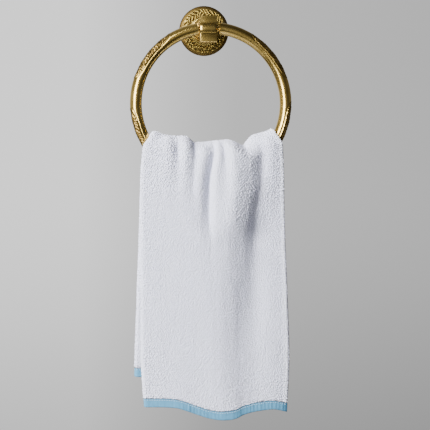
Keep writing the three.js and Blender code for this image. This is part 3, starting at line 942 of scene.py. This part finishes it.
def carve_ring(bar):
    """Sinks a long pointed panel for each spray, with a raised border and leaves in it."""
    from_centre = vertex_array(bar) - RING_CENTRE
    angle = np.arctan2(from_centre[:, 2], from_centre[:, 0])
    radial = np.stack([np.cos(angle), np.zeros_like(angle), np.sin(angle)], axis=-1)
    away = from_centre - radial * RING_RADIUS
    tube_angle = np.degrees(np.arctan2(-away[:, 1], (away * radial).sum(axis=-1)))
    across = (tube_angle - SPRAY_FACING) * math.radians(TUBE_RADIUS)
    offset, recess = np.zeros(len(angle)), np.zeros(len(angle))
    for spray in SPRAYS:
        start, end = spray["start"], spray["end"]
        here = (np.degrees(angle) - start + 90) % 360 - 90 + start
        share = (here - start) / (end - start)
        along = np.radians(here - start) * RING_RADIUS
        half = SPRAY_HALF_WIDTH * np.sqrt(np.clip(1 - np.abs(2 * share - 1) ** 4, 0, 1))
        from_border = half - np.abs(across)
        border = np.exp(-((from_border - BORDER_WIDTH / 2) / (BORDER_WIDTH / 2.4)) ** 2) * (half > 0)
        groove = np.exp(-((from_border + 0.35) / 0.55) ** 2) * (half > 0)
        panel = smooth_step(BORDER_WIDTH * 0.9, BORDER_WIDTH * 1.5, from_border)
        height = acanthus(along, across, RING_ACANTHUS) * panel
        offset += border * BORDER_RISE + height * (CARVED_RISE + CARVED_SINK) - panel * CARVED_SINK
        offset -= groove * BORDER_GROOVE
        recess += panel * (1 - 0.4 * height) + groove
    on_circle = RING_CENTRE + radial * RING_RADIUS
    move_vertices(bar, on_circle + unit(away) * (TUBE_RADIUS + offset)[:, None])
    keep_value(bar, "recess", np.clip(recess, 0, 1))
    bpy.ops.object.shade_smooth_by_angle(angle=math.radians(65))


carve_ring(ring_bar)


# %% [markdown]
# The bar's two ends face the bracket, and a short pin on each enters it. The pins are
# cylinders with rounded tips, joined to the bar. Their other ends are inside the bar.


# %% Pins of the ring
PIN_RADIUS = 2.8
PIN_HEIGHT = -1.0
PIN_LEFT_TIP = -2.5
PIN_RIGHT_TIP = 3.5
PIN_IN_BAR = 3.0


def soften(piece, width, segments, angle):
    """Bevels the edges of a piece that are sharper than an angle in degrees."""
    apply_modifier(piece, "softened edges", "BEVEL", width=width * MM, segments=segments,
                   limit_method="ANGLE", angle_limit=math.radians(angle))


def pin(name, from_x, to_x):
    start_clean()
    bpy.ops.mesh.primitive_cylinder_add(
        vertices=32, radius=PIN_RADIUS * MM, depth=abs(to_x - from_x) * MM, rotation=(0, math.pi / 2, 0),
        location=((from_x + to_x) / 2 * MM, RING_CENTRE[1] * MM, PIN_HEIGHT * MM))
    shaft = settle(name)
    soften(shaft, 0.5, 3, 30)
    bpy.ops.object.shade_smooth_by_angle(angle=math.radians(35))
    return shaft


pins = [pin("pin_left", RING_LEFT_END - PIN_IN_BAR, PIN_LEFT_TIP),
        pin("pin_right", RING_RIGHT_END + PIN_IN_BAR, PIN_RIGHT_TIP)]
start_clean(ring_bar)
for piece in pins:
    piece.select_set(True)
bpy.ops.object.join()
report(ring_bar)


# %% [markdown]
# ## The wall rose
#
# The rose is a round cast plate with a ring of leaves between its plain rim and the
# bracket's foot. A profile drawn from the wall outwards is spun about the rose's axis,
# and the leaves are raised from it in the same way as on the ring.


# %% Spun rose
ROSE_PROFILE = [
    dict(radius=0.0, out=0.0), dict(radius=27.8, out=0.0), dict(radius=28.4, out=0.25),
    dict(radius=28.6, out=0.8), dict(radius=28.6, out=2.3), dict(radius=28.3, out=2.75),
    dict(radius=27.7, out=3.2), dict(radius=26.8, out=3.75), dict(radius=25.8, out=4.2),
    dict(radius=25.0, out=4.45),
]
BAND_OUT = 4.5
BAND_DOME = 0.7
SEAT_PROFILE = [dict(radius=16.4, out=5.5), dict(radius=16.1, out=5.8), dict(radius=15.6, out=6.0),
                dict(radius=0.0, out=6.0)]
LEAVES_OUTER = 24.6
LEAVES_INNER = 16.6
LEAVES_STEP = 0.4
LEAVES_RISE = 1.2
LEAVES_SINK = 0.6
ROSE_STEPS = 360
ROSE_WAVES = 8


def rose_outline():
    """(radius, out) from the wall side round to the middle of the front."""
    band = [dict(radius=radius, out=BAND_OUT + BAND_DOME * math.sin(
        (LEAVES_OUTER - radius) / (LEAVES_OUTER - LEAVES_INNER) * math.pi / 2))
        for radius in np.arange(LEAVES_OUTER, LEAVES_INNER, -LEAVES_STEP)]
    return [(point["radius"], point["out"]) for point in ROSE_PROFILE + band + SEAT_PROFILE]


def spun_rose():
    outline = [(radius, -out, 0) for radius, out in rose_outline()]
    plate = mesh_piece("wall_rose_plate", outline, [], edges=[(k, k + 1) for k in range(len(outline) - 1)])
    start_clean(plate)
    bpy.ops.object.mode_set(mode="EDIT")
    bpy.ops.mesh.select_all(action="SELECT")
    spin_closed(ROSE_STEPS, 2 * math.pi, (0, 0, 0), (0, 1, 0))
    bpy.ops.object.mode_set(mode="OBJECT")
    bpy.ops.object.shade_smooth_by_angle(angle=math.radians(50))
    return plate


def carve_rose(plate):
    """Raises the leaves from a band between the rim and the bracket's foot."""
    points = vertex_array(plate)
    radius = np.hypot(points[:, 0], points[:, 2])
    angle = np.arctan2(points[:, 2], points[:, 0])
    middle = (LEAVES_INNER + LEAVES_OUTER) / 2
    round_band = 2 * math.pi * middle
    lobes = round(round_band / ROSE_ACANTHUS["lobe_pitch"])
    pattern = dict(ROSE_ACANTHUS, wave=round_band / ROSE_WAVES, lobe_pitch=round_band / lobes)
    on_front = points[:, 1] < -1.5
    cover = on_front * smooth_step(LEAVES_INNER, LEAVES_INNER + 0.7, radius) * (
        1 - smooth_step(LEAVES_OUTER - 0.7, LEAVES_OUTER, radius))
    height = acanthus(angle * middle, radius - middle, pattern) * cover
    points[:, 1] -= height * LEAVES_RISE - cover * LEAVES_SINK
    move_vertices(plate, points)
    rim = 0.85 * smooth_step(LEAVES_OUTER - 0.3, LEAVES_OUTER + 0.6, radius)
    keep_value(plate, "recess", np.maximum(cover * (1 - 0.6 * height), rim))


wall_rose = spun_rose()
carve_rose(wall_rose)
report(wall_rose)


# %% [markdown]
# ## The bracket
#
# A round foot stands on the rose, a short neck comes forward out of it, and the neck
# ends in an upright block with a flattened barrel across its face. Seen from the side,
# all but the foot is one outline of straight lines, arcs and coves, so it is drawn once.


# %% Side outline of the bracket
FOOT_RADIUS = 15.5
FOOT_FROM = 6.3
FOOT_THICKNESS = 4.5
BLOCK_WIDTH = 19.5
BLOCK = dict(top=13.5, bottom=-16, back=39, front=54.5, neck_top=8, neck_bottom=-9, neck_round=8,
             brow=53.7)
BARREL = dict(radius=8.8, depth=47.4, height=-1, from_angle=-35.5, to_angle=33, cove=2.6,
              cove_rise=5.8, end_reach=3.2, end_drop=0.9)


def quadratic(start, control, end, steps=8):
    """Points of a curve that leaves the start towards a control point and ends at the end."""
    t = np.linspace(0, 1, steps + 1)[1:, None]
    start, control, end = map(np.array, (start, control, end))
    return ((1 - t) ** 2 * start + 2 * t * (1 - t) * control + t ** 2 * end).tolist()


def block_outline():
    """(depth from the wall, height) round the side of the block and its neck."""
    b = BLOCK
    root = FOOT_FROM + FOOT_THICKNESS / 2
    front_of_neck = b["back"] - b["neck_round"]
    angles = np.radians(np.linspace(BARREL["from_angle"], BARREL["to_angle"], 15))
    arc = [(BARREL["depth"] + BARREL["radius"] * math.cos(a),
            BARREL["height"] + BARREL["radius"] * math.sin(a)) for a in angles]
    lower = [(root, b["neck_bottom"]), (front_of_neck, b["neck_bottom"])]
    lower += quadratic(lower[-1], (b["back"], b["neck_bottom"]), (b["back"], b["bottom"]))
    cove_turn = (b["front"] - BARREL["cove"], BARREL["height"] + BARREL["cove_rise"])
    cove = quadratic(arc[-1], cove_turn, (b["brow"], b["top"] - 1))
    upper = [(b["brow"], b["top"]), (b["back"], b["top"])]
    upper += quadratic(upper[-1], (b["back"], b["neck_top"]), (front_of_neck, b["neck_top"]))
    return lower + [(b["front"], b["bottom"])] + arc + cove + upper + [(root, b["neck_top"])]


# %% [markdown]
# The outline is extruded across the block's width and cut into slices, so that its faces
# can swell a little and the barrel can round off towards its ends. Bevels soften the
# edges as a casting's are, and a union joins the block to its turned foot.


# %% Bracket block and foot
CHAMFER = 0.9
WIDTH_CUTS = 27
FACE_CROWN = 0.55


def crown_faces(body):
    """Rounds the barrel off towards its two ends and lets the flat faces swell a little."""
    points = vertex_array(body)
    depth, across = -points[:, 1], np.abs(points[:, 0])
    half, reach = BLOCK_WIDTH / 2, BARREL["end_reach"]
    end = np.clip((across - (half - reach)) / reach, 0, 1)
    bulge = np.clip(depth - BLOCK["front"], 0, None)
    drop = BARREL["end_drop"] * (1 - np.sqrt(1 - 0.96 * end ** 2)) * np.clip(bulge / 0.35, 0, 1)
    swell = FACE_CROWN * (across / half) ** 2 * smooth_step(BLOCK["back"] + 6, BLOCK["front"] - 1, depth)
    points[:, 1] += np.minimum(bulge, drop) + swell
    move_vertices(body, points)


def make_bracket():
    side = [(-BLOCK_WIDTH / 2, -depth, height) for depth, height in block_outline()]
    body = mesh_piece("bracket_body", side, [tuple(range(len(side)))], smooth=False)
    start_clean(body)
    bpy.ops.object.mode_set(mode="EDIT")
    bpy.ops.mesh.select_all(action="SELECT")
    bpy.ops.mesh.extrude_region_move(TRANSFORM_OT_translate={"value": (BLOCK_WIDTH * MM, 0, 0)})
    bpy.ops.mesh.select_all(action="SELECT")
    bpy.ops.mesh.normals_make_consistent(inside=False)
    cut_long_edges(body, BLOCK_WIDTH - 0.1, WIDTH_CUTS)
    crown_faces(body)
    soften(body, CHAMFER, 1, 50)
    start_clean()
    bpy.ops.mesh.primitive_cylinder_add(
        vertices=128, radius=FOOT_RADIUS * MM, depth=FOOT_THICKNESS * MM, rotation=(math.pi / 2, 0, 0),
        location=(0, -(FOOT_FROM + FOOT_THICKNESS / 2) * MM, 0))
    foot = settle("bracket_foot")
    soften(foot, 1.0, 4, 40)
    apply_modifier(body, "foot", "BOOLEAN", operation="UNION", object=foot)
    bpy.data.objects.remove(foot)
    bpy.ops.object.shade_smooth_by_angle(angle=math.radians(35))
    return body


bracket = make_bracket()
report(bracket)


# %% [markdown]
# ## Brass
#
# The fittings are cast in solid brass, polished and then left to tone down. Metal has no
# colour of its own under the light but tints what it reflects, so the colour goes on the
# base and metallic is 1. Old lacquer and polish stay brown in the low places of the
# leaves, and the fine scratches of polishing show as a slight change of roughness. The
# rose is out of reach of the cloth, so it is duller and darker than the ring.


# %% Aged brass
BRASS_BRIGHT = "dcbc6c"
BRASS_TONED = "bc9e50"
BRASS_BROWN = "553f20"
ROSE_BRIGHT = "ab9650"
ROSE_TONED = "8c7a40"
CLOUDS_PER_METRE = 90.0
SCRATCHES_PER_METRE = 900.0


def aged_brass(name, carved, bright=BRASS_BRIGHT, toned=BRASS_TONED, dullness=0.0):
    """Brass that is brown in the stored recesses of a carved piece, or at inner corners."""
    material, tree, shader = new_material(name)
    where = add_node(tree, "TexCoord").outputs["Object"]
    clouds = add_node(tree, "TexNoise", Vector=where, Scale=CLOUDS_PER_METRE, Detail=4.0,
                      Roughness=0.6)
    tone = add_node(tree, "MapRange", Value=clouds.outputs["Fac"], From_Min=0.35, From_Max=0.68)
    body = add_node(tree, "Mix", {"data_type": "RGBA"}, i0=tone.outputs["Result"],
                    i6=colour(bright), i7=colour(toned))
    if carved:
        deep = add_node(tree, "Attribute", {"attribute_name": "recess"}).outputs["Fac"]
        limits = dict(From_Min=0.35, From_Max=0.95, To_Max=0.95)
    else:
        deep = add_node(tree, "NewGeometry").outputs["Pointiness"]
        limits = dict(From_Min=0.49, From_Max=0.42, To_Max=0.8)
    low = add_node(tree, "MapRange", Value=deep, **limits).outputs["Result"]
    aged = add_node(tree, "Mix", {"data_type": "RGBA"}, i0=low,
                    i6=body.outputs[2], i7=colour(BRASS_BROWN))
    fine = add_node(tree, "TexNoise", Vector=where, Scale=SCRATCHES_PER_METRE, Detail=3.0,
                    Roughness=0.55)
    rough = add_node(tree, "MapRange", Value=fine.outputs["Fac"], From_Min=0.3, From_Max=0.7,
                     To_Min=0.17 + dullness, To_Max=0.27 + dullness)
    dull = add_node(tree, "Math", {"operation": "MULTIPLY_ADD"}, i0=low, i1=0.25,
                    i2=rough.outputs["Result"])
    bump = add_node(tree, "Bump", Height=fine.outputs["Fac"], Strength=0.05, Distance=0.2 * MM)
    feed(shader, Base_Color=aged.outputs[2], Metallic=1.0, Roughness=dull.outputs[0],
         Normal=bump.outputs["Normal"])
    return material


carved_brass = aged_brass("aged brass, cast and carved", carved=True)
rose_brass = aged_brass("aged brass, cast and chased", carved=True, bright=ROSE_BRIGHT,
                        toned=ROSE_TONED, dullness=0.1)
plain_brass = aged_brass("aged brass, cast and polished", carved=False)
print("brass:", ", ".join(m.name for m in (carved_brass, rose_brass, plain_brass)))


# %% [markdown]
# ## Cotton
#
# White cotton takes light softly and never shines, but its loose fibres catch a rim of
# light at a glancing angle, which the sheen input gives. The pile differs a little in
# tone from loop to loop. A coarse bump, the nap, gives the tufts their lit and shaded
# sides, and a fine one breaks them into loops. The nap is drawn a little coarser than on
# real terry, so that it shows. The ground lies in the shade of the pile, so it is greyer.


# %% Terry and its ground
TERRY_LIGHT = "edeefe"
TERRY_SHADE = "dbddee"
GROUND = "c8cbd5"
NAP_MM = 1.7


def cotton_terry(name, light, shade, grain_mm, depth_mm):
    material, tree, shader = new_material(name)
    where = add_node(tree, "TexCoord").outputs["Object"]
    grain = add_node(tree, "TexNoise", Vector=where, Scale=1 / (grain_mm * MM), Detail=3.0,
                     Roughness=0.6)
    mix = add_node(tree, "Mix", {"data_type": "RGBA"}, i0=grain.outputs["Fac"],
                   i6=colour(light), i7=colour(shade))
    nap = add_node(tree, "TexNoise", Vector=where, Scale=1 / (NAP_MM * MM), Detail=1.0)
    nap_bump = add_node(tree, "Bump", Height=nap.outputs["Fac"], Strength=0.65,
                        Distance=NAP_MM * 0.75 * MM)
    loops = add_node(tree, "TexVoronoi", Vector=where, Scale=1 / (grain_mm * MM))
    loop_bump = add_node(tree, "Bump", {"invert": True}, Height=loops.outputs["Distance"],
                         Strength=0.6, Distance=depth_mm * MM, Normal=nap_bump.outputs["Normal"])
    feed(shader, Base_Color=mix.outputs[2], Normal=loop_bump.outputs["Normal"], Roughness=0.95,
         Specular_IOR_Level=0.15, Sheen_Weight=0.25, Sheen_Roughness=0.5)
    return material


terry_pile = cotton_terry("white cotton, looped pile", TERRY_LIGHT, TERRY_SHADE, 0.7, 0.25)
terry_ground = cotton_terry("white cotton, woven ground", GROUND, TERRY_SHADE, 1.4, 0.8)
print("terry:", terry_pile.name, "and", terry_ground.name)


# %% [markdown]
# The tape is woven pale blue cotton with a fine rib across it. Its ribs are drawn from a
# UV map in real millimetres, along the tape and up it, so they follow every ripple. The
# stored crease mask paints shade on it in a darker blue. A wave texture runs through 20
# radians in each unit, so its scale is pi / 10 over the rib's pitch. Spun thread shows
# only the fine bump of its twist.


# %% Blue tape and sewing thread
RIB_PITCH = 0.9
WEAR_MM = 6.25
TWIST_MM = 0.4
TAPE_BLUE = "5a97b8"
TAPE_SHADE = "4780a2"
# Painted shade colour for the tape's folded edges, tucks and end.
TAPE_PAINTED_SHADE = "2f5c78"
THREAD_BLUE = "a9c8db"
THREAD_WHITE = "eef1f5"


def woven_tape(name):
    material, tree, shader = new_material(name)
    where = add_node(tree, "TexCoord")
    wear = add_node(tree, "TexNoise", Vector=where.outputs["Object"],
                    Scale=1 / (WEAR_MM * MM), Detail=4.0)
    mix = add_node(tree, "Mix", {"data_type": "RGBA"}, i0=wear.outputs["Fac"],
                   i6=colour(TAPE_BLUE), i7=colour(TAPE_SHADE))
    # Painted shade: the crease mask mixes the darker blue into the tape.
    crease = add_node(tree, "Attribute", {"attribute_name": "crease"})
    tape_with_painted_shade = add_node(tree, "Mix", {"data_type": "RGBA"}, i0=crease.outputs["Fac"],
                       i6=mix.outputs[2], i7=colour(TAPE_PAINTED_SHADE))
    ribs = add_node(tree, "TexWave", {"wave_type": "BANDS", "bands_direction": "X"},
                    Vector=where.outputs["UV"], Scale=math.pi / 10 / RIB_PITCH, Distortion=1.2, Detail=2.0)
    bump = add_node(tree, "Bump", Height=ribs.outputs["Fac"], Strength=0.5, Distance=0.25 * MM)
    feed(shader, Base_Color=tape_with_painted_shade.outputs[2], Normal=bump.outputs["Normal"], Roughness=0.8,
         Specular_IOR_Level=0.25, Sheen_Weight=0.15)
    return material


def spun_thread(name, hex_value):
    material, tree, shader = new_material(name)
    where = add_node(tree, "TexCoord").outputs["Object"]
    twist = add_node(tree, "TexNoise", Vector=where, Scale=1 / (TWIST_MM * MM))
    bump = add_node(tree, "Bump", Height=twist.outputs["Fac"], Strength=0.4, Distance=0.1 * MM)
    feed(shader, Base_Color=colour(hex_value), Normal=bump.outputs["Normal"], Roughness=0.6)
    return material


blue_tape = woven_tape("pale blue cotton tape, ribbed")
blue_thread = spun_thread("pale blue sewing thread", THREAD_BLUE)
white_thread = spun_thread("white sewing thread", THREAD_WHITE)
print("sewn with:", blue_tape.name, "/", blue_thread.name, "/", white_thread.name)


# %% [markdown]
# ## What each piece is made of, and what it stands for
#
# Each piece gets its material. Every soft or carved piece replaces the plain solid of the
# same part, which stays in the model for weight and contact.


# %% Materials and replaced solids
sewn_blue, sewn_white = stitches[:2], stitches[2:]
for slot, material, pieces in (
        ("terry", terry_ground, [towel]), ("terry", terry_pile, [pile_front, pile_back]),
        ("terry", white_thread, sewn_white), ("binding_tape", blue_tape, [tape_front, tape_back]),
        ("binding_tape", blue_thread, sewn_blue), ("brass", carved_brass, [ring_bar]),
        ("brass", rose_brass, [wall_rose]), ("brass", plain_brass, [bracket])):
    for piece in pieces:
        piece.data.materials.clear()
        piece.data.materials.append(material)
        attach(piece, "root")
        print(f"{piece.name}: {material.name}")

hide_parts("towel")
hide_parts("binding_front")
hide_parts("binding_back")
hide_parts("towel_ring")
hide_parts("wall_rose")
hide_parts("bracket")


# %% [markdown]
# ## Lamps
#
# A large soft lamp stands high on the left and lights the cloth. The brass doesn't see
# it: metal shows what it reflects, so it gets a tall strip of its own, which the cloth
# doesn't see. A very faint lamp on the right keeps the shaded slope from going black.


# %% Lamps
def soft_lamp(name, location_m, aim_m, size_m, watts):
    data = bpy.data.lights.new(name, "AREA")
    data.shape = "RECTANGLE"
    data.size, data.size_y = size_m
    data.energy = watts
    lamp = bpy.data.objects.new(name, data)
    lamp.location = location_m
    lamp.rotation_euler = (Vector(aim_m) - Vector(location_m)).to_track_quat("-Z", "Y").to_euler()
    bpy.context.scene.collection.objects.link(lamp)
    return lamp


middle_of_towel = (0.0, -0.05, -0.22)
middle_of_ring = (0.0, -0.05, -0.1)
key = soft_lamp("key", (-1.75, -1.45, 0.75), middle_of_towel, (0.9, 1.1), 250)
key.visible_glossy = False
strip = soft_lamp("strip", (-0.91, -1.52, 0.3), middle_of_ring, (0.85, 1.6), 80)
strip.visible_diffuse = False
fill = soft_lamp("fill", (1.5, -1.5, 0.1), middle_of_towel, (1.2, 1.2), 1.5)
fill.visible_glossy = False
print("lamps:", key.name, strip.name, fill.name)


# %% [markdown]
# ## The room
#
# The surroundings are a plain grey room that changes tone by the compass and by height.
# Behind the object it is pale on the left and darker on the right, and it is dark on the
# camera's side, which gives the metal its dark bands. In `ROOM`, turn 0 is behind the
# object on the left, 0.5 is straight in front, and 1 is behind it on the right again.


# %% Surroundings
ROOM = [
    dict(turn=0.0, tone=0.98), dict(turn=0.02, tone=0.98), dict(turn=0.06, tone=0.9),
    dict(turn=0.16, tone=0.5), dict(turn=0.25, tone=0.42), dict(turn=0.42, tone=0.42),
    dict(turn=0.52, tone=0.2), dict(turn=0.58, tone=0.08), dict(turn=0.64, tone=0.08),
    dict(turn=0.72, tone=0.14), dict(turn=0.86, tone=0.18), dict(turn=0.955, tone=0.47),
    dict(turn=0.982, tone=0.55), dict(turn=1.0, tone=0.98),
]
DIMMED_BY_HEIGHT = [
    dict(From_Min=-0.34, From_Max=-0.04, To_Min=0.5, To_Max=1.0),
    dict(From_Min=0.12, From_Max=0.5, To_Min=1.0, To_Max=0.45),
    dict(From_Min=-0.6, From_Max=-0.26, To_Min=0.5, To_Max=1.0),
]
world = bpy.data.worlds.new("studio")
bpy.context.scene.world = world
world.use_nodes = True
sky = world.node_tree
facing = add_node(sky, "TexCoord").outputs["Generated"]
axes = add_node(sky, "SeparateXYZ", Vector=facing)
towards_front = add_node(sky, "Math", {"operation": "MULTIPLY"}, i0=axes.outputs["Y"], i1=-1.0)
compass = add_node(sky, "Math", {"operation": "ARCTAN2"}, i0=axes.outputs["X"],
                   i1=towards_front.outputs[0])
turn_share = add_node(sky, "MapRange", Value=compass.outputs[0], From_Min=-math.pi,
                      From_Max=math.pi)
room = add_node(sky, "ValToRGB", Fac=turn_share.outputs["Result"])
for stop in ROOM[1:-1]:
    room.color_ramp.elements.new(stop["turn"])
for element, stop in zip(room.color_ramp.elements, ROOM):
    element.position = stop["turn"]
    element.color = (stop["tone"], stop["tone"], stop["tone"], 1.0)
by_height = 1.0
for limits in DIMMED_BY_HEIGHT:
    dimmed = add_node(sky, "MapRange", {"interpolation_type": "SMOOTHSTEP"},
                      Value=axes.outputs["Z"], **limits)
    by_height = add_node(sky, "Math", {"operation": "MULTIPLY"}, i0=by_height,
                         i1=dimmed.outputs["Result"]).outputs[0]
tint = add_node(sky, "VectorMath", {"operation": "SCALE"}, i0=room.outputs["Color"],
                Scale=by_height)
feed(sky.nodes["Background"], Color=tint.outputs[0], Strength=1.25)
print("room of", len(ROOM), "tones")


# %% [markdown]
# A pale floor lies far below and sends a little light up.


# %% Floor
FLOOR_GRAIN_MM = 25.0

start_clean()
bpy.ops.mesh.primitive_plane_add(size=3.6, location=(0, 0, -2.0))
floor = bpy.context.object
floor.name = "floor"
floor_material, floor_tree, floor_shader = new_material("pale painted floor")
floor_where = add_node(floor_tree, "TexCoord").outputs["Object"]
floor_grain = add_node(floor_tree, "TexNoise", Vector=floor_where, Scale=1 / (FLOOR_GRAIN_MM * MM))
floor_bump = add_node(floor_tree, "Bump", Height=floor_grain.outputs["Fac"], Strength=0.1)
feed(floor_shader, Base_Color=colour("b2b2b4"), Normal=floor_bump.outputs["Normal"], Roughness=0.8)
floor.data.materials.append(floor_material)
